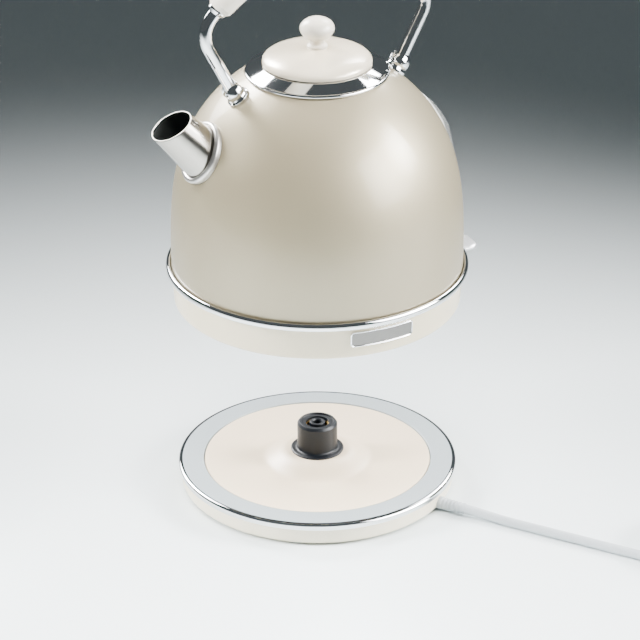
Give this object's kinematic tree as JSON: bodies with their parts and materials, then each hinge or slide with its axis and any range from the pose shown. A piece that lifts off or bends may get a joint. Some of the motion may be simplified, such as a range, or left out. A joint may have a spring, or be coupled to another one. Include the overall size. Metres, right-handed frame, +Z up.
{
  "type": "electric kettle",
  "caption": "Cordless dome kettle with an arched handle, short spout and lift-off lid, held just above its round power base with its mains lead.",
  "frame": {"origin": "on the surface the power base stands on, at the centre of the base", "axes": "+Z up along the connector post, the spout points along -X, the switch lever along +X, and the badge faces -Y"},
  "size_m": [0.4194, 0.3484, 0.3803],
  "materials": {
    "pearl_paint": "pearl gloss paint over steel",
    "lid_paint": "gloss cream paint over steel",
    "cream_plastic": "moulded cream gloss",
    "disc_plastic": "satin moulded cream",
    "grip_cream": "moulded cream gloss",
    "chrome": "polished chrome plating",
    "ring_metal": "satin ring with a polished rolled edge",
    "brushed_spout": "brushed along the tube",
    "badge_metal": "satin plated plate with no lettering",
    "plate_steel": "rolled stainless sheet",
    "filter_mesh": "fine perforated stainless",
    "screw_steel": "zinc plated",
    "pin_metal": "nickel plated brass",
    "brass": "spring brass",
    "black_plastic": "fine moulded texture",
    "lead_white": "soft white cable sheath",
    "plug_white": "moulded white",
    "tie_black": "soft tie",
    "rubber": "soft black",
    "window_clear": "clear moulded window"
  },
  "bodies": {
    "base": {"base_housing": "cream_plastic", "base_ring": "ring_metal", "base_disc": "disc_plastic", "connector_post": "black_plastic", "post_contacts": "brass", "base_bottom": "cream_plastic", "base_feet": "rubber", "base_screws": "screw_steel", "cord_clamp": "black_plastic", "strain_relief": "lead_white", "power_cord": "lead_white", "cord_coil": "lead_white", "cord_tail": "lead_white", "cord_tie": "tie_black", "plug_body": "plug_white", "plug_pins": "pin_metal"},
    "socket": {"kettle_socket": "black_plastic", "socket_contacts": "brass"},
    "kettle": {"kettle_shell": "pearl_paint", "chrome_band": "chrome", "skirt": "cream_plastic", "inner_frame": "black_plastic", "bottom_cover": "black_plastic", "bottom_screws": "screw_steel", "control_unit": "black_plastic", "heating_plate": "plate_steel", "heating_element": "plate_steel", "plate_seal": "rubber", "steam_tube": "black_plastic", "spout": "brushed_spout", "spout_flange": "chrome", "spout_filter": "filter_mesh", "water_window": "window_clear", "window_gasket": "rubber", "collar": "chrome", "front_bracket": "chrome", "rear_bracket": "chrome", "bracket_nuts": "screw_steel", "front_rod": "chrome", "rear_rod": "chrome", "handle_grip": "grip_cream", "badge": "badge_metal", "lever_housing": "black_plastic", "lever_pin": "screw_steel"},
    "lever": {"switch_lever": "chrome"},
    "lid": {"lid_cover": "lid_paint", "lid_plug": "plate_steel", "lid_seal": "rubber", "lid_knob": "grip_cream", "knob_screw": "screw_steel"}
  },
  "joints": [
    {"name": "kettle_lift", "type": "slide", "parent": "base", "child": "socket", "axis": [0, 0, 1], "range_m": [-0.118, 0]},
    {"name": "kettle_turn", "type": "hinge", "parent": "socket", "child": "kettle", "pos_m": [0, 0, 0.1353], "axis": [0, 0, 1], "continuous": true},
    {"name": "lid_lift", "type": "slide", "parent": "kettle", "child": "lid", "axis": [0, 0, 1], "range_m": [0, 0.028]},
    {"name": "switch_press", "type": "hinge", "parent": "kettle", "child": "lever", "pos_m": [0.086, 0, 0.1513], "axis": [0, 1, 0], "range_deg": [0, 12]}
  ]
}
